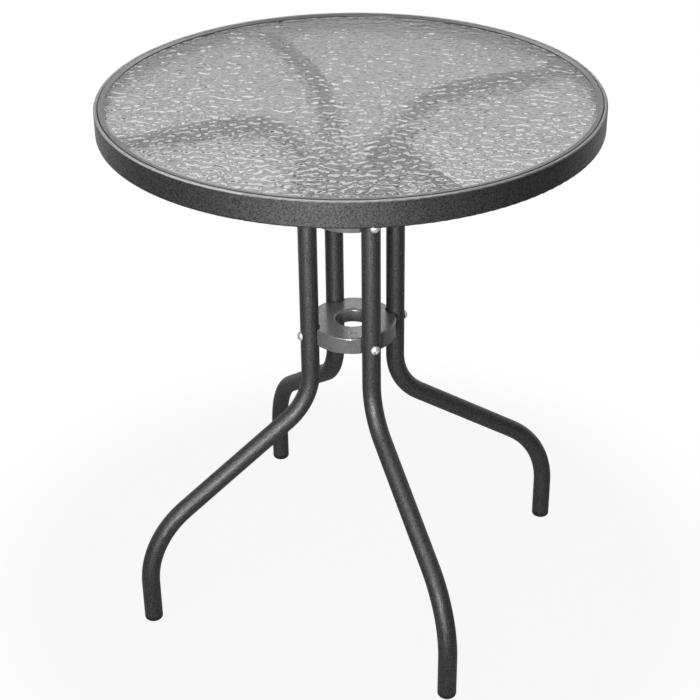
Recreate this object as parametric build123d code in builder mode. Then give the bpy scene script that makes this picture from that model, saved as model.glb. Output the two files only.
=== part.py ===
"""Round patio table: a glass pane in a steel rim, on four bent tube legs tied by two pressed rings.

Millimetres, +Z up. The origin is on the floor under the table's centre. The legs stand on the diagonals.
"""
import os
from math import atan2, cos, pi, radians, sin, tan

from build123d import *

os.makedirs("parts", exist_ok=True)

# Table top
table_height = 700.0
rim_diameter = 610.0
band_height = 32.0
rim_sheet = 1.2
bead_width = 5.0
bead_flat = 0.5
seat_width = 6.0
seat_bend = 0.8
hem_width = 5.0

# Glass pane and the soft strip round its edge
glass_thickness = 5.0
glass_set_down = 2.0
glass_edge_bevel = 0.8
glass_top_bevel = 1.0
glass_clearance = 0.2
seal_web = 2.0
seal_lip = 1.2
seal_edge = 0.6
seal_rise = 1.4
seal_width = 6.3
seal_round = 0.4
seal_clearance = 0.2

# Tube legs
tube_diameter = 24.0
tube_wall = 1.2
leg_radius = 60.0
foot_radius = 295.0
knee_height = 286.0
ankle_height = 125.0
arm_bend = 80.0
knee_bend = 80.0
ankle_bend = 125.0
arm_gap = 2.2
first_leg_angle = 45.0
leg_names = ("back_right", "back_left", "front_left", "front_right")

# Pressed flat ends of the arms, and the rim's tabs that they are screwed to
flat_slit = 0.6
flat_inset = 20.0
taper_length = 38.0
flat_end_gap = 2.0
section_flat = 0.01
tab_length = 30.0
tab_width = 26.0
tab_thickness = 6.0
tab_corner = 6.0
tab_screw_inset = 16.0

# Foot plugs
plug_cap = 8.0
plug_round = 4.0
plug_stem = 16.0
plug_clearance = 0.15
plug_groove = 0.8
plug_groove_pitch = 4.0
plug_groove_count = 3

# Pressed rings
ring_sheet = 2.0
ring_height = 22.0
ring_round = 2.2
horn_inner_round = 0.6
nest_depth = 8.0
nest_clearance = 0.2
ring_bore = 44.0
collar_depth = 18.0
collar_bend = 0.8
lower_ring_gap = 45.0
upper_ring_gap = 34.0
radius_tolerance = 0.01

# M6 fasteners
screw_diameter = 6.0
screw_hole_clearance = 0.25
head_diameter = 12.0
head_height = 4.6
head_rim = 1.2
recess_span = 6.8
recess_width = 1.5
recess_depth = 2.4
tip_chamfer = 0.6
washer_diameter = 12.0
washer_thickness = 1.6
washer_clearance = 0.2
nut_across_flats = 10.0
nut_thickness = 5.0
thread_clearance = 0.1
thread_tail = 2.0
tab_engagement = 7.5

# Sizes that follow from the ones above
rim_radius = rim_diameter / 2
bead_inner_radius = rim_radius - bead_width
bead_round = (bead_width - bead_flat) / 2
seat_inner_radius = bead_inner_radius - seat_width
glass_top = table_height - glass_set_down
glass_bottom = glass_top - glass_thickness
seat_top = glass_bottom - seal_lip
seal_outer_radius = bead_inner_radius - seal_clearance
seal_web_radius = seal_outer_radius - seal_web
seal_inner_radius = seal_outer_radius - seal_width
glass_radius = seal_web_radius - glass_clearance
glass_flat_radius = seal_inner_radius - glass_clearance
bevel_slope = glass_top_bevel / (glass_radius - glass_flat_radius)
lip_inner_level = glass_top - bevel_slope * (seal_inner_radius - glass_flat_radius)
lip_web_level = glass_top - bevel_slope * (seal_web_radius - glass_flat_radius)
tube_radius = tube_diameter / 2
tube_bore_radius = tube_radius - tube_wall
arm_height = glass_bottom - arm_gap - tube_radius
rim_wall_radius = rim_radius - rim_sheet
tab_screw_radius = rim_wall_radius - tab_screw_inset
flat_start = tab_screw_radius - flat_inset
flat_end = rim_wall_radius - flat_end_gap
round_end = flat_start - taper_length
flat_thickness = 2 * tube_wall + flat_slit
flat_width = pi * (tube_diameter - tube_wall) / 2
arm_flat_top = arm_height + flat_thickness / 2
arm_flat_underside = arm_height - flat_thickness / 2
rim_head_level = arm_flat_underside - washer_thickness
knee_turn = pi / 2 - atan2(knee_height - ankle_height, foot_radius - leg_radius)
knee_top = knee_height + knee_bend * tan(knee_turn / 2)
arm_bend_bottom = arm_height - arm_bend
ring_levels = {
    "lower": knee_top + lower_ring_gap + ring_height / 2,
    "upper": arm_bend_bottom - upper_ring_gap - ring_height / 2,
}
ring_horn_round = ring_sheet + horn_inner_round
ring_radius = leg_radius - tube_radius + nest_depth
nest_radius = tube_radius + nest_clearance
nest_wall = leg_radius - nest_radius - ring_sheet
bore_radius = ring_bore / 2
screw_hole_radius = screw_diameter / 2 + screw_hole_clearance
ring_grip = leg_radius + tube_radius - nest_wall
ring_screw_length = ring_grip + washer_thickness + nut_thickness + thread_tail
rim_screw_length = washer_thickness + flat_thickness + tab_engagement
leg_angles = {name: first_leg_angle + 360 / len(leg_names) * k for k, name in enumerate(leg_names)}


def leg_plane(angle):
    """Upright plane through the table's axis: local X runs outwards along a leg, local Y runs up."""
    turn = radians(angle)
    return Plane(origin=(0, 0, 0), x_dir=(cos(turn), sin(turn), 0), z_dir=(sin(turn), -cos(turn), 0))


def outward_plane(angle, radius, height):
    """Plane that faces outwards at a radius and a height on a leg's line: local X runs round, Y runs up."""
    turn = radians(angle)
    centre = (radius * cos(turn), radius * sin(turn), height)
    return Plane(origin=centre, x_dir=(-sin(turn), cos(turn), 0), z_dir=(cos(turn), sin(turn), 0))


def level_plane(angle, radius, height, facing):
    """Level plane on a leg's line, facing up (1) or down (-1)."""
    turn = radians(angle)
    centre = (radius * cos(turn), radius * sin(turn), height)
    return Plane(origin=centre, x_dir=(cos(turn), sin(turn), 0), z_dir=(0, 0, facing))


def top_circle(builder, radius):
    """Highest round edge of a given radius."""
    rounds = builder.edges().filter_by(GeomType.CIRCLE)
    return rounds.filter_by(lambda edge: abs(edge.radius - radius) < radius_tolerance).sort_by(Axis.Z)[-1]


def add_screw(seat, length):
    """Pan-head screw with a cross recess: the head stands on the seat plane, the shank behind it."""
    shank = screw_diameter / 2
    head = head_diameter / 2
    with BuildSketch(Plane(origin=seat.origin, x_dir=seat.x_dir, z_dir=-seat.y_dir)) as half_section:
        with BuildLine():
            Polyline(
                (0, head_height),
                (0, -length),
                (shank - tip_chamfer, -length),
                (shank, -length + tip_chamfer),
                (shank, 0),
                (head, 0),
                (head, head_rim),
            )
            TangentArc((0, head_height), (head, head_rim), tangent=(1, 0))
        make_face()
    revolve(half_section.sketch, axis=Axis(seat.origin, seat.z_dir))
    with BuildSketch(seat.offset(head_height - recess_depth)) as cross:
        Rectangle(recess_span, recess_width)
        Rectangle(recess_width, recess_span)
    extrude(cross.sketch, amount=recess_depth, mode=Mode.SUBTRACT)


def add_washer(seat):
    """Plain washer that lies on the seat plane."""
    with BuildSketch(seat) as flat_ring:
        Circle(washer_diameter / 2)
        Circle(screw_diameter / 2 + washer_clearance, mode=Mode.SUBTRACT)
    extrude(flat_ring.sketch, amount=washer_thickness)


def add_nut(seat):
    """Hexagon nut that lies on the seat plane."""
    with BuildSketch(seat) as hexagon:
        RegularPolygon(nut_across_flats / 2, side_count=6, major_radius=False)
        Circle(screw_diameter / 2 + thread_clearance, mode=Mode.SUBTRACT)
    extrude(hexagon.sketch, amount=nut_thickness)


def pressed_section(plane, width, thickness):
    """Section of a tube that is being pressed flat: the sides stay fully round at every stage."""
    with BuildSketch(plane) as section:
        RectangleRounded(width, thickness, min(width, thickness) / 2 - section_flat)
    return section.sketch


# Rim band: one rolled strip, from the hem at the bottom over the bead to the seat under the glass
with BuildPart() as rim_band:
    with BuildSketch(Plane.XZ):
        with BuildLine():
            FilletPolyline(
                (rim_radius - hem_width, table_height - band_height),
                (rim_radius, table_height - band_height),
                (rim_radius, table_height),
                (bead_inner_radius, table_height),
                (bead_inner_radius, seat_top),
                (seat_inner_radius, seat_top),
                radius=[bead_round, bead_round, bead_round, seat_bend],
            )
            offset(amount=rim_sheet, side=Side.LEFT)
        make_face()
    revolve(axis=Axis.Z)
rim_band.part.label = "rim_band"
export_step(rim_band.part, "parts/rim_band.step")

# Seal strip: U section round the pane's edge, lying with it in the seat, its top sloped down to the glass
with BuildPart() as seal_strip:
    with BuildSketch(Plane.XZ) as seal_section:
        with BuildLine():
            Polyline(
                (seal_inner_radius, seat_top),
                (seal_outer_radius, seat_top),
                (seal_outer_radius, glass_top + seal_edge + seal_rise),
                (seal_inner_radius, glass_top + seal_edge),
                (seal_inner_radius, lip_inner_level),
                (seal_web_radius, lip_web_level),
                (seal_web_radius, glass_bottom),
                (seal_inner_radius, glass_bottom),
                close=True,
            )
        make_face()
        top_corners = seal_section.vertices().sort_by(Axis.Y)[-2:]
        fillet(top_corners, radius=seal_round)
        seat_corners = seal_section.vertices().group_by(Axis.Y)[0]
        fillet(seat_corners.sort_by(Axis.X)[-1], radius=seat_bend)
    revolve(axis=Axis.Z)
seal_strip.part.label = "seal_strip"
export_step(seal_strip.part, "parts/seal_strip.step")

# Glass pane: a disc held by its edge in the seal strip, with a wide bevel on top where the strip's lip lies
with BuildPart() as glass_pane:
    with BuildSketch(Plane.XZ):
        with BuildLine():
            Polyline(
                (0, glass_bottom),
                (glass_radius - glass_edge_bevel, glass_bottom),
                (glass_radius, glass_bottom + glass_edge_bevel),
                (glass_radius, glass_top - glass_top_bevel),
                (glass_flat_radius, glass_top),
                (0, glass_top),
                close=True,
            )
        make_face()
    revolve(axis=Axis.Z)
glass_pane.part.label = "glass_pane"
export_step(glass_pane.part, "parts/glass_pane.step")

# Legs: one bent tube each, from the foot up to the arm under the glass, pressed flat at the rim
for name, angle in leg_angles.items():
    with BuildPart() as leg:
        taper_start = outward_plane(angle, round_end, arm_height)
        taper_end = outward_plane(angle, flat_start, arm_height)
        tube = pressed_section(taper_start, tube_diameter, tube_diameter)
        bore = pressed_section(taper_start, 2 * tube_bore_radius, 2 * tube_bore_radius)
        flat = pressed_section(taper_end, flat_width, flat_thickness)
        slit = pressed_section(taper_end, flat_width - 2 * tube_wall, flat_thickness - 2 * tube_wall)
        loft([tube, flat])
        loft([bore, slit], mode=Mode.SUBTRACT)
        extrude(flat, amount=flat_end - flat_start)

        with BuildLine(leg_plane(angle)) as bends:
            FilletPolyline(
                (round_end, arm_height),
                (leg_radius, arm_height),
                (leg_radius, knee_height),
                (foot_radius, ankle_height),
                (foot_radius, plug_cap),
                radius=[arm_bend, knee_bend, ankle_bend],
            )
        with BuildSketch(Plane(origin=bends.line @ 0, z_dir=bends.line % 0)):
            Circle(tube_radius)
            Circle(tube_bore_radius, mode=Mode.SUBTRACT)
        sweep()

        with BuildSketch(level_plane(angle, tab_screw_radius, arm_height, 1)):
            Circle(screw_hole_radius)
        extrude(amount=flat_thickness, both=True, mode=Mode.SUBTRACT)
        for ring_level in ring_levels.values():
            with BuildSketch(outward_plane(angle, leg_radius, ring_level)):
                Circle(screw_hole_radius)
            extrude(amount=tube_diameter, both=True, mode=Mode.SUBTRACT)
    leg.part.label = f"leg_{name}"
    export_step(leg.part, f"parts/leg_{name}.step")

# Foot plugs: a rounded cap under the tube's end, with a grooved stem pushed into the bore
for name, angle in leg_angles.items():
    with BuildPart() as foot_plug:
        stem_radius = tube_bore_radius - plug_clearance
        with BuildSketch(level_plane(angle, foot_radius, 0, 1)):
            Circle(tube_radius)
        extrude(amount=plug_cap)
        fillet(foot_plug.edges().filter_by(GeomType.CIRCLE).sort_by(Axis.Z)[0], radius=plug_round)
        with BuildSketch(level_plane(angle, foot_radius, plug_cap, 1)):
            Circle(stem_radius)
        extrude(amount=plug_stem)
        for k in range(plug_groove_count):
            groove_level = plug_cap + plug_groove_pitch * (k + 1)
            with BuildSketch(level_plane(angle, foot_radius, groove_level, 1)):
                Circle(stem_radius)
                Circle(stem_radius - plug_groove, mode=Mode.SUBTRACT)
            extrude(amount=plug_groove_pitch / 2, mode=Mode.SUBTRACT)
    foot_plug.part.label = f"foot_plug_{name}"
    export_step(foot_plug.part, f"parts/foot_plug_{name}.step")

# Rings and their fasteners, once for each level
for level_name, ring_level in ring_levels.items():
    ring_top = ring_level + ring_height / 2
    ring_bottom = ring_level - ring_height / 2

    # Pressed ring: a top plate with a skirt notched for the legs and a collar round its centre hole
    with BuildPart() as ring:
        with BuildSketch(Plane.XY.offset(ring_bottom)) as outline:
            Circle(ring_radius)
            with PolarLocations(leg_radius, len(leg_names), start_angle=first_leg_angle):
                Circle(nest_radius, mode=Mode.SUBTRACT)
            fillet(outline.vertices(), radius=ring_horn_round)
        extrude(amount=ring_height)
        fillet(ring.edges().group_by(Axis.Z)[-1], radius=ring_round)
        with BuildSketch(Plane.XY.offset(ring_bottom)):
            offset(outline.sketch_local.faces(), amount=-ring_sheet)
        extrude(amount=ring_height - ring_sheet, mode=Mode.SUBTRACT)
        with BuildSketch(Plane.XY.offset(ring_top - collar_depth)):
            Circle(bore_radius + ring_sheet)
        extrude(amount=collar_depth - ring_sheet)
        with BuildSketch(Plane.XY.offset(ring_bottom)):
            Circle(bore_radius)
        extrude(amount=ring_height, mode=Mode.SUBTRACT)
        fillet(top_circle(ring, bore_radius), radius=collar_bend + ring_sheet)
        fillet(top_circle(ring, bore_radius + ring_sheet), radius=collar_bend)
        for angle in leg_angles.values():
            with BuildSketch(outward_plane(angle, leg_radius, ring_level)):
                Circle(screw_hole_radius)
            extrude(amount=-(leg_radius - nest_wall + ring_sheet), mode=Mode.SUBTRACT)
    ring.part.label = f"{level_name}_ring"
    export_step(ring.part, f"parts/{level_name}_ring.step")

    # Screws from outside, through each leg and the ring's notch
    with BuildPart() as ring_screws:
        for angle in leg_angles.values():
            add_screw(outward_plane(angle, leg_radius + tube_radius, ring_level), ring_screw_length)
    ring_screws.part.label = f"{level_name}_ring_screws"
    export_step(ring_screws.part, f"parts/{level_name}_ring_screws.step")

    # Washers against the inside of each notch
    with BuildPart() as ring_washers:
        for angle in leg_angles.values():
            add_washer(outward_plane(angle, nest_wall - washer_thickness, ring_level))
    ring_washers.part.label = f"{level_name}_ring_washers"
    export_step(ring_washers.part, f"parts/{level_name}_ring_washers.step")

    # Nuts behind the washers
    with BuildPart() as ring_nuts:
        for angle in leg_angles.values():
            add_nut(outward_plane(angle, nest_wall - washer_thickness - nut_thickness, ring_level))
    ring_nuts.part.label = f"{level_name}_ring_nuts"
    export_step(ring_nuts.part, f"parts/{level_name}_ring_nuts.step")

# Rim tabs: threaded plates welded to the inside of the band, one above each arm's flat end
with BuildPart() as rim_tabs:
    for angle in leg_angles.values():
        tab_plane = level_plane(angle, rim_wall_radius, arm_flat_top, 1)
        with BuildSketch(tab_plane) as tab:
            with Locations((-tab_length / 2, 0)):
                Rectangle(tab_length, tab_width)
            fillet(tab.vertices().group_by(Axis.X)[0], radius=tab_corner)
            with Locations((-rim_wall_radius, 0)):
                Circle(rim_wall_radius, mode=Mode.INTERSECT)
            with Locations((-tab_screw_inset, 0)):
                Circle(screw_diameter / 2 + thread_clearance, mode=Mode.SUBTRACT)
        extrude(amount=tab_thickness)
rim_tabs.part.label = "rim_tabs"
export_step(rim_tabs.part, "parts/rim_tabs.step")

# Rim washers, under the arms' flat ends
with BuildPart() as rim_washers:
    for angle in leg_angles.values():
        add_washer(level_plane(angle, tab_screw_radius, arm_flat_underside, -1))
rim_washers.part.label = "rim_washers"
export_step(rim_washers.part, "parts/rim_washers.step")

# Rim screws, from below through the washers and the arms into the tabs
with BuildPart() as rim_screws:
    for angle in leg_angles.values():
        add_screw(level_plane(angle, tab_screw_radius, rim_head_level, -1), rim_screw_length)
rim_screws.part.label = "rim_screws"
export_step(rim_screws.part, "parts/rim_screws.step")
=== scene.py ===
import math

import bmesh
import bpy
from mathutils import Matrix, Vector, noise


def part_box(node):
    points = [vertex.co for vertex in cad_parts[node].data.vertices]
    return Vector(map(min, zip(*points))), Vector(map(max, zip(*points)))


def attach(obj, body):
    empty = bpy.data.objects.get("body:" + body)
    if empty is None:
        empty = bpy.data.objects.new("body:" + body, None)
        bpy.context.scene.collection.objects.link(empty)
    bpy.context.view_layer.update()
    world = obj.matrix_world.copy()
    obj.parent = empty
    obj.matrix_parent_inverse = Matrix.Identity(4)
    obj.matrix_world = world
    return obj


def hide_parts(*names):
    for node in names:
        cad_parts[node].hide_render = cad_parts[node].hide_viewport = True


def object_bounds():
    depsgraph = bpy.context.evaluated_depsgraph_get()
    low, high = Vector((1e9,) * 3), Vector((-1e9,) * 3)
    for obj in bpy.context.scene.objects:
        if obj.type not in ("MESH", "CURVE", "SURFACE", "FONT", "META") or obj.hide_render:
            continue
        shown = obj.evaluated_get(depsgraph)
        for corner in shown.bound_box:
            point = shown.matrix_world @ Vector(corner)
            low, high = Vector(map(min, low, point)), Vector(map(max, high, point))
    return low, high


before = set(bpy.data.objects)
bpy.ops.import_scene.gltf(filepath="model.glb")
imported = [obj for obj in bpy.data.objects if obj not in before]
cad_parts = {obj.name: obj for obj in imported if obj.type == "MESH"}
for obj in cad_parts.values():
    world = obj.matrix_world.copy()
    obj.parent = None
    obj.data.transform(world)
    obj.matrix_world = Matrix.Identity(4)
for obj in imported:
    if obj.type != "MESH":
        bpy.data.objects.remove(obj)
cad_low, cad_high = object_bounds()

# Camera
# It stands where the photograph was taken from, about two metres off and above the top,
# with one leg coming forward to the right of the middle.
scene = bpy.context.scene
VIEW_AZIMUTH = math.radians(22.33)
VIEW_ELEVATION = math.radians(30.02)
VIEW_ROLL = math.radians(-0.615)
VIEW_DISTANCE = 2.109
AIM_HEIGHT = 0.348
SENSOR_WIDTH = 36
LENS_LENGTH = 83.25
SHIFT_RIGHT = -0.0045
SHIFT_UP = -0.0012
to_right = Vector((math.cos(VIEW_AZIMUTH), math.sin(VIEW_AZIMUTH), 0))
away = Vector((-math.sin(VIEW_AZIMUTH), math.cos(VIEW_AZIMUTH), 0))
forward = away * math.cos(VIEW_ELEVATION) - Vector((0, 0, math.sin(VIEW_ELEVATION)))
level_up = to_right.cross(forward)
camera_right = to_right * math.cos(VIEW_ROLL) + level_up * math.sin(VIEW_ROLL)
camera_up = level_up * math.cos(VIEW_ROLL) - to_right * math.sin(VIEW_ROLL)
camera = bpy.data.objects.new("camera", bpy.data.cameras.new("camera"))
camera.data.sensor_width = SENSOR_WIDTH
camera.data.lens = LENS_LENGTH
camera.data.shift_x = SHIFT_RIGHT
camera.data.shift_y = SHIFT_UP
stand = Vector((0, 0, AIM_HEIGHT)) - forward * VIEW_DISTANCE
turn = Matrix((camera_right, camera_up, -forward)).transposed().to_4x4()
camera.matrix_world = Matrix.Translation(stand) @ turn
scene.collection.objects.link(camera)
scene.camera = camera
scene.view_settings.view_transform = "Standard"


# Studio floor and light
# A roll of white paper runs under the table from the camera to the back wall, in a room that is pale behind
# and dim at the sides. Soft lamps hang above the camera and behind the table, and one stands in front.
def new_tree(material):
    """Empties a material's node tree and gives it back with a fresh output."""
    material.use_nodes = True
    tree = material.node_tree
    tree.nodes.clear()
    return tree, tree.nodes.new("ShaderNodeOutputMaterial")


def math_node(tree, operation, first, second):
    """One sum on two values, each a socket or a number."""
    node = tree.nodes.new("ShaderNodeMath")
    node.operation = operation
    for socket, value in zip(node.inputs, (first, second)):
        if isinstance(value, (int, float)):
            socket.default_value = value
        else:
            tree.links.new(value, socket)
    return node.outputs[0]


def carried_over(tree, value, from_ends=(0, 1), to_ends=(0, 1), bend="LINEAR"):
    """Carries a value from one range over to another, in a straight line or softly."""
    node = tree.nodes.new("ShaderNodeMapRange")
    node.interpolation_type = bend
    for socket, number in zip(("From Min", "From Max", "To Min", "To Max"), (*from_ends, *to_ends)):
        node.inputs[socket].default_value = number
    tree.links.new(value, node.inputs["Value"])
    return node.outputs[0]


def blend(tree, amount, first, second):
    """One shader turning into another."""
    node = tree.nodes.new("ShaderNodeMixShader")
    for socket, source in zip(node.inputs, (amount, first.outputs[0], second.outputs[0])):
        tree.links.new(source, socket)
    return node


def own_place(tree):
    """Where a point of the piece lies."""
    return tree.nodes.new("ShaderNodeTexCoord").outputs["Object"]


def grey(level):
    """An even grey as a colour."""
    return (level, level, level, 1)


PAPER_WIDTH = 1.3
PAPER_LENGTH = 7.0
PAPER_FORWARD = 0.6
PAPER_GREY = 0.28
PAPER_GLOW = 0.92
PAPER_MIRRORED = 0.1
SHADE_RADIUS = 0.40
WHITE_RADIUS = 0.62
floor_mesh = bpy.data.meshes.new("floor")
floor_shape = bmesh.new()
bmesh.ops.create_grid(floor_shape, x_segments=1, y_segments=1, size=0.5)
bmesh.ops.scale(floor_shape, vec=(PAPER_WIDTH, PAPER_LENGTH, 1), verts=floor_shape.verts)
floor_shape.to_mesh(floor_mesh)
floor_shape.free()
floor = bpy.data.objects.new("floor", floor_mesh)
floor.location = away * PAPER_FORWARD
floor.rotation_euler.z = VIEW_AZIMUTH
scene.collection.objects.link(floor)
floor_paper = bpy.data.materials.new("floor paper")
tree, output = new_tree(floor_paper)
matt = tree.nodes.new("ShaderNodeBsdfDiffuse")
matt.inputs["Color"].default_value = grey(PAPER_GREY)
glow = tree.nodes.new("ShaderNodeEmission")
path = tree.nodes.new("ShaderNodeLightPath")
mirrored = math_node(tree, "MULTIPLY", path.outputs["Is Glossy Ray"], PAPER_MIRRORED)
seen = math_node(tree, "MAXIMUM", path.outputs["Is Camera Ray"], path.outputs["Is Transmission Ray"])
seen = math_node(tree, "MAXIMUM", seen, mirrored)
from_table = tree.nodes.new("ShaderNodeVectorMath")
from_table.operation = "DISTANCE"
from_table.inputs[1].default_value = (0, -PAPER_FORWARD, 0)
tree.links.new(own_place(tree), from_table.inputs[0])
whiter = carried_over(
    tree, from_table.outputs["Value"], (SHADE_RADIUS, WHITE_RADIUS), (PAPER_GLOW, 1), "SMOOTHSTEP"
)
paper = blend(tree, math_node(tree, "MULTIPLY", seen, whiter), matt, glow)
tree.links.new(paper.outputs[0], output.inputs["Surface"])
floor_mesh.materials.append(floor_paper)

ROOM_LIGHT = 0.06
WALL_GREY = 0.95
SIDE_GREY = 0.06
CEILING_GREY = 0.1
UPPER_GREY = 0.22
WALL_ENDS = (0.05, 0.35)
SIDE_ENDS = (0.3, 0.65)
UPPER_ENDS = (0.0, 0.3)
room = bpy.data.worlds.new("room")
scene.world = room
room.use_nodes = True
tree = room.node_tree
tree.nodes.clear()
output = tree.nodes.new("ShaderNodeOutputWorld")
direction = tree.nodes.new("ShaderNodeTexCoord").outputs["Generated"]
split = tree.nodes.new("ShaderNodeSeparateXYZ")
tree.links.new(direction, split.inputs[0])
along = tree.nodes.new("ShaderNodeVectorMath")
along.operation = "DOT_PRODUCT"
along.inputs[1].default_value = away
tree.links.new(direction, along.inputs[0])
wall = carried_over(tree, split.outputs["Z"], WALL_ENDS, (WALL_GREY, CEILING_GREY), "SMOOTHSTEP")
side = carried_over(tree, along.outputs["Value"], SIDE_ENDS, (SIDE_GREY, WALL_GREY), "SMOOTHSTEP")
upper = carried_over(tree, split.outputs["Z"], UPPER_ENDS, (0, UPPER_GREY), "SMOOTHSTEP")
walls = tree.nodes.new("ShaderNodeBackground")
shade = math_node(tree, "MAXIMUM", math_node(tree, "MINIMUM", wall, side), upper)
tree.links.new(shade, walls.inputs["Color"])
soft = tree.nodes.new("ShaderNodeBackground")
soft.inputs["Strength"].default_value = ROOM_LIGHT
white = tree.nodes.new("ShaderNodeBackground")
white.inputs["Color"].default_value = grey(1)
path = tree.nodes.new("ShaderNodeLightPath")
seen = math_node(tree, "MAXIMUM", path.outputs["Is Camera Ray"], path.outputs["Is Transmission Ray"])
surroundings = blend(tree, seen, blend(tree, path.outputs["Is Glossy Ray"], soft, walls), white)
tree.links.new(surroundings.outputs[0], output.inputs["Surface"])

LAMP_AIM = Vector((0, 0, 0.65))
for name, right, back, height, size, spread, power in (
    ("lamp top", -0.7, -1.8, 2.6, (2.6, 2.6), 180, 62),
    ("lamp back low", 0.3, 2.5, 1.64, (2.8, 0.62), 180, 5.3),
    ("lamp back high", 0.3, 2.7, 2.45, (2.8, 0.45), 180, 15),
    ("lamp front", -0.5, -2.3, 0.85, (0.7, 0.7), 45, 6),
):
    lamp = bpy.data.lights.new(name, "AREA")
    lamp.shape = "RECTANGLE"
    lamp.size, lamp.size_y = size
    lamp.spread = math.radians(spread)
    lamp.energy = power
    holder = bpy.data.objects.new(name, lamp)
    holder.location = to_right * right + away * back + Vector((0, 0, height))
    holder.rotation_mode = "QUATERNION"
    holder.rotation_quaternion = (LAMP_AIM - holder.location).to_track_quat("-Z", "Y")
    holder.visible_camera = False
    scene.collection.objects.link(holder)

# Rim band
# A strip of sheet steel rolled to a hoop, with a bead on top, a seat for the glass inside and a hem below.
# It is powder coated in charcoal, with a fine pebbled grain and paler flecks; the top of the bead is painted
# lighter, a painted highlight.
FLECK_LAYERS = 3
FLECK_RAGGEDNESS = 0.65
FLECK_ENDS = (0.34, 0.66)


def paint_grain():
    """Powder coat seen close: how light each fleck of the coat is, and the height of its grain."""
    group = bpy.data.node_groups.new("powder grain", "ShaderNodeTree")
    group.interface.new_socket("Fleck Size", in_out="INPUT", socket_type="NodeSocketFloat")
    group.interface.new_socket("Fleck", in_out="OUTPUT", socket_type="NodeSocketFloat")
    group.interface.new_socket("Height", in_out="OUTPUT", socket_type="NodeSocketFloat")
    given = group.nodes.new("NodeGroupInput")
    put_out = group.nodes.new("NodeGroupOutput")
    place = own_place(group)
    per_metre = math_node(group, "DIVIDE", 1, given.outputs["Fleck Size"])
    flecks = group.nodes.new("ShaderNodeTexNoise")
    flecks.inputs["Detail"].default_value = FLECK_LAYERS
    flecks.inputs["Roughness"].default_value = FLECK_RAGGEDNESS
    pebbles = group.nodes.new("ShaderNodeTexVoronoi")
    pebbles.feature = "SMOOTH_F1"
    for texture in (flecks, pebbles):
        group.links.new(place, texture.inputs["Vector"])
        group.links.new(per_metre, texture.inputs["Scale"])
    group.links.new(carried_over(group, flecks.outputs["Fac"], FLECK_ENDS), put_out.inputs["Fleck"])
    group.links.new(pebbles.outputs["Distance"], put_out.inputs["Height"])
    return group


powder_grain = paint_grain()
FULL_MIRROR = 0.08
GLOSS_SWING = 0.07
GRAIN_STRENGTH = 0.6


def mixed_colour(tree, amount, first, second):
    """One colour turning into another, each a socket or a colour."""
    node = tree.nodes.new("ShaderNodeMix")
    node.data_type = "RGBA"
    tree.links.new(amount, node.inputs["Factor"])
    for socket, colour in zip(("A", "B"), (first, second)):
        if isinstance(colour, tuple):
            node.inputs[socket].default_value = colour
        else:
            tree.links.new(colour, node.inputs[socket])
    return node.outputs["Result"]


def painted(name, dark, pale, fleck_size, roughness, grain_depth, shine):
    """A grained finish between two greys, whose pale flecks mirror more than the rest."""
    material = bpy.data.materials.new(name)
    tree, output = new_tree(material)
    coat = tree.nodes.new("ShaderNodeBsdfPrincipled")
    coat.inputs["Specular IOR Level"].default_value = shine / 2
    glint = math.sqrt(FULL_MIRROR * shine)
    coat.inputs["Coat IOR"].default_value = (1 + glint) / (1 - glint)
    coat.inputs["Coat Roughness"].default_value = roughness
    grain = tree.nodes.new("ShaderNodeGroup")
    grain.node_tree = powder_grain
    grain.inputs["Fleck Size"].default_value = fleck_size
    fleck = grain.outputs["Fleck"]
    gloss_ends = (roughness + GLOSS_SWING, roughness - GLOSS_SWING)
    tree.links.new(mixed_colour(tree, fleck, grey(dark), grey(pale)), coat.inputs["Base Color"])
    tree.links.new(carried_over(tree, fleck, to_ends=gloss_ends), coat.inputs["Roughness"])
    tree.links.new(fleck, coat.inputs["Coat Weight"])
    bump = tree.nodes.new("ShaderNodeBump")
    bump.inputs["Strength"].default_value = GRAIN_STRENGTH
    bump.inputs["Distance"].default_value = grain_depth
    tree.links.new(grain.outputs["Height"], bump.inputs["Height"])
    tree.links.new(bump.outputs[0], coat.inputs["Normal"])
    tree.links.new(coat.outputs[0], output.inputs["Surface"])
    return material


def shader_of(material):
    """The shader of a finished material."""
    return next(node for node in material.node_tree.nodes if node.type == "BSDF_PRINCIPLED")


def own_height(tree):
    """How high a point of the piece lies."""
    split = tree.nodes.new("ShaderNodeSeparateXYZ")
    tree.links.new(own_place(tree), split.inputs[0])
    return split.outputs["Z"]


def finish_node(name, material):
    """Gives a CAD node its finish."""
    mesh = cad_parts[name].data
    mesh.materials.clear()
    mesh.materials.append(material)


rim_paint = painted(
    "rim paint", dark=0.001, pale=0.022, fleck_size=0.0019, roughness=0.56, grain_depth=0.0004, shine=0.66
)
# Painted highlight: the top of the bead is mixed towards a pale grey, standing in for the light its rounded
# top catches.
BEAD_HIGHLIGHT_GREY = 0.36
BEAD_DEPTH = 0.0022
tree = rim_paint.node_tree
bead_ends = (cad_high.z - BEAD_DEPTH, cad_high.z)
painted_highlight = carried_over(tree, own_height(tree), bead_ends, bend="SMOOTHSTEP")
rim_colour = shader_of(rim_paint).inputs["Base Color"]
highlighted_colour = mixed_colour(tree, painted_highlight, rim_colour.links[0].from_socket, grey(BEAD_HIGHLIGHT_GREY))
tree.links.new(highlighted_colour, rim_colour)
finish_node("rim_band", rim_paint)
finish_node("rim_tabs", rim_paint)

# Seal strip
# A soft strip of U section round the pane's edge, that lies with it in the rim's seat and comes out with it.
# It is dark grey rubber with a smooth skin, that mirrors the room along its sloping top.
seal_rubber = painted(
    "seal rubber", dark=0.05, pale=0.07, fleck_size=0.0015, roughness=0.24, grain_depth=0.00002, shine=0.45
)
finish_node("seal_strip", seal_rubber)

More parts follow.
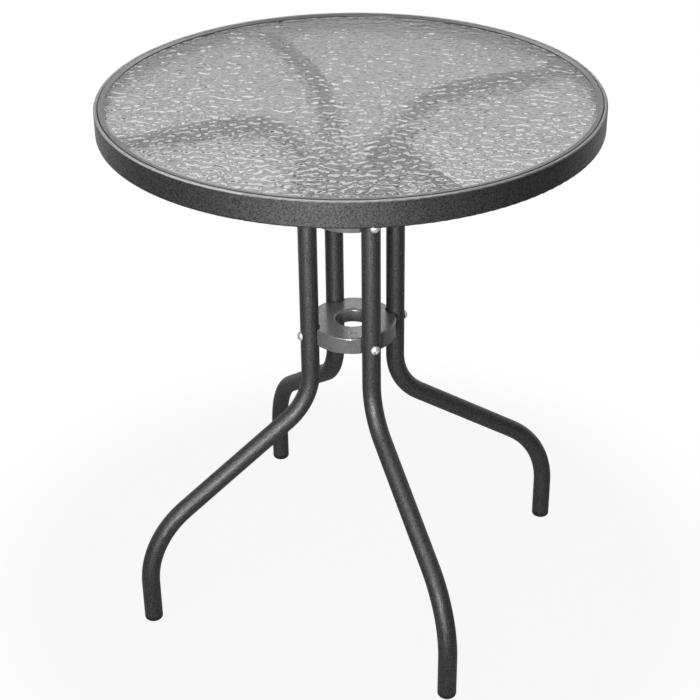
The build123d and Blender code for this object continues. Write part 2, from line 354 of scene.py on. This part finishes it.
# Glass pane
# A round of tempered glass, rolled with close ripples like a wind-blown pond above and a fine grain below,
# with ground edges. It lies loose in its strip and lifts out with it.
PANE_CELLS = 290
TOP_BEVEL_WIDTH = 0.0043
TOP_BEVEL_DEPTH = 0.001
EDGE_BEVEL = 0.0008
RIPPLE_SIZE = 0.0074
RIPPLE_DEPTH = 0.0014
CREASE_SHARE = 0.3
CREASE_FINENESS = 2.1
pane_low, pane_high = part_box("glass_pane")
pane_radius = (pane_high.x - pane_low.x) / 2
ripple_radius = pane_radius - TOP_BEVEL_WIDTH
pane_shape = bmesh.new()
bmesh.ops.create_grid(pane_shape, x_segments=PANE_CELLS, y_segments=PANE_CELLS, size=1)
for vert in pane_shape.verts:
    x, y = vert.co.x, vert.co.y
    length = math.hypot(x, y)
    pull = max(abs(x), abs(y)) / length if length > 0 else 0
    vert.co = Vector((x, y, 0)) * pull * ripple_radius
    place = vert.co / RIPPLE_SIZE
    swell = noise.noise(place) + CREASE_SHARE * noise.noise(place * CREASE_FINENESS)
    vert.co.z = pane_high.z - RIPPLE_DEPTH * (0.5 - 0.5 * max(-1, min(1, swell)))
rim_edges = [edge for edge in pane_shape.edges if edge.is_boundary]
for edge in rim_edges:
    for vert in edge.verts:
        vert.co.z = pane_high.z
for radius, height in (
    (pane_radius, pane_high.z - TOP_BEVEL_DEPTH),
    (pane_radius, pane_low.z + EDGE_BEVEL),
    (pane_radius - EDGE_BEVEL, pane_low.z),
):
    lowered = bmesh.ops.extrude_edge_only(pane_shape, edges=rim_edges)["geom"]
    for vert in (part for part in lowered if isinstance(part, bmesh.types.BMVert)):
        outward = Vector((vert.co.x, vert.co.y, 0)).normalized()
        vert.co = outward * radius + Vector((0, 0, height))
    rim_edges = [part for part in lowered if isinstance(part, bmesh.types.BMEdge)]
bmesh.ops.edgeloop_fill(pane_shape, edges=rim_edges)
bmesh.ops.recalc_face_normals(pane_shape, faces=pane_shape.faces)
for face in pane_shape.faces:
    middle = face.calc_center_median()
    face.smooth = middle.z > pane_high.z - RIPPLE_DEPTH and math.hypot(middle.x, middle.y) < ripple_radius
pane_mesh = bpy.data.meshes.new("rippled_pane")
pane_shape.to_mesh(pane_mesh)
pane_shape.free()
rippled_pane = bpy.data.objects.new("rippled_pane", pane_mesh)
scene.collection.objects.link(rippled_pane)

GLASS_GREY = 0.29
GLASS_CLEARNESS = 0.92
GLASS_IOR = 1.52
GLASS_ROUGHNESS = 0.08
GRAIN_SIZE = 0.004
GRAIN_DEPTH = 0.0005
SHADOW_GREY = 0.8
rolled_glass = bpy.data.materials.new("rolled glass")
tree, output = new_tree(rolled_glass)
glass = tree.nodes.new("ShaderNodeBsdfPrincipled")
glass.inputs["Base Color"].default_value = grey(GLASS_GREY)
glass.inputs["Transmission Weight"].default_value = GLASS_CLEARNESS
glass.inputs["IOR"].default_value = GLASS_IOR
glass.inputs["Roughness"].default_value = GLASS_ROUGHNESS
speckle = tree.nodes.new("ShaderNodeTexNoise")
speckle.inputs["Scale"].default_value = 1 / GRAIN_SIZE
speckle.inputs["Detail"].default_value = 1
tree.links.new(own_place(tree), speckle.inputs["Vector"])
below = math_node(tree, "LESS_THAN", own_height(tree), pane_low.z + EDGE_BEVEL / 2)
grain = tree.nodes.new("ShaderNodeBump")
grain.inputs["Distance"].default_value = GRAIN_DEPTH
tree.links.new(math_node(tree, "MULTIPLY", below, speckle.outputs["Fac"]), grain.inputs["Height"])
tree.links.new(grain.outputs[0], glass.inputs["Normal"])
clear = tree.nodes.new("ShaderNodeBsdfTransparent")
clear.inputs["Color"].default_value = grey(SHADOW_GREY)
path = tree.nodes.new("ShaderNodeLightPath")
pane = blend(tree, path.outputs["Is Shadow Ray"], glass, clear)
tree.links.new(pane.outputs[0], output.inputs["Surface"])
pane_mesh.materials.append(rolled_glass)
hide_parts("glass_pane")
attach(rippled_pane, "glass_top")

# Legs
# Four alike, each one length of steel tube bent three times, with its upper end pressed flat for a screw
# in the rim. They have the rim's powder coat, a shade darker.
CORNERS = ("back_right", "back_left", "front_left", "front_right")
leg_paint = painted(
    "leg paint", dark=0.001, pale=0.026, fleck_size=0.0017, roughness=0.51, grain_depth=0.0001, shine=0.95
)
for corner in CORNERS:
    finish_node("leg_" + corner, leg_paint)

# Rings
# Two steel pressings that hold the legs together, each with a rolled hole in the middle and a skirt
# with four notches for the tubes. Their coat is a paler grey with some metal in it.
RING_METAL = 0.45
RING_COAT_ROUGHNESS = 0.15
ring_paint = painted(
    "ring paint", dark=0.10, pale=0.21, fleck_size=0.0020, roughness=0.32, grain_depth=0.0001, shine=0.8
)
ring_coat = shader_of(ring_paint)
ring_coat.inputs["Metallic"].default_value = RING_METAL
ring_coat.inputs["Coat Roughness"].default_value = RING_COAT_ROUGHNESS
finish_node("lower_ring", ring_paint)
finish_node("upper_ring", ring_paint)

# Screws, washers and nuts
# M6 machine screws with domed heads and a cross recess, plain washers and hexagon nuts,
# all bright zinc plate with a faint brushed haze.
CLOUD_SCALE = 420
CLOUD_LAYERS = 4
ZINC_DULL = (0.74, 0.74, 0.75, 1)
ZINC_BRIGHT = (0.92, 0.92, 0.92, 1)
HAZE_ENDS = (0.45, 0.65)
zinc = bpy.data.materials.new("zinc plate")
tree, output = new_tree(zinc)
plate = tree.nodes.new("ShaderNodeBsdfPrincipled")
plate.inputs["Metallic"].default_value = 1
cloud = tree.nodes.new("ShaderNodeTexNoise")
cloud.inputs["Scale"].default_value = CLOUD_SCALE
cloud.inputs["Detail"].default_value = CLOUD_LAYERS
tree.links.new(own_place(tree), cloud.inputs["Vector"])
haze = cloud.outputs["Fac"]
tree.links.new(mixed_colour(tree, haze, ZINC_DULL, ZINC_BRIGHT), plate.inputs["Base Color"])
tree.links.new(carried_over(tree, haze, to_ends=HAZE_ENDS), plate.inputs["Roughness"])
tree.links.new(plate.outputs[0], output.inputs["Surface"])
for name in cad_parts:
    if name.endswith(("_screws", "_washers", "_nuts")):
        finish_node(name, zinc)

# Foot plugs
# Black moulded plugs pushed into the tubes' ends, rounded underneath so that they slide on a terrace.
# They have a fine matt moulding grain.
plug_plastic = painted(
    "plug plastic", dark=0.008, pale=0.018, fleck_size=0.0012, roughness=0.5, grain_depth=0.00006, shine=0.5
)
for corner in CORNERS:
    finish_node("foot_plug_" + corner, plug_plastic)
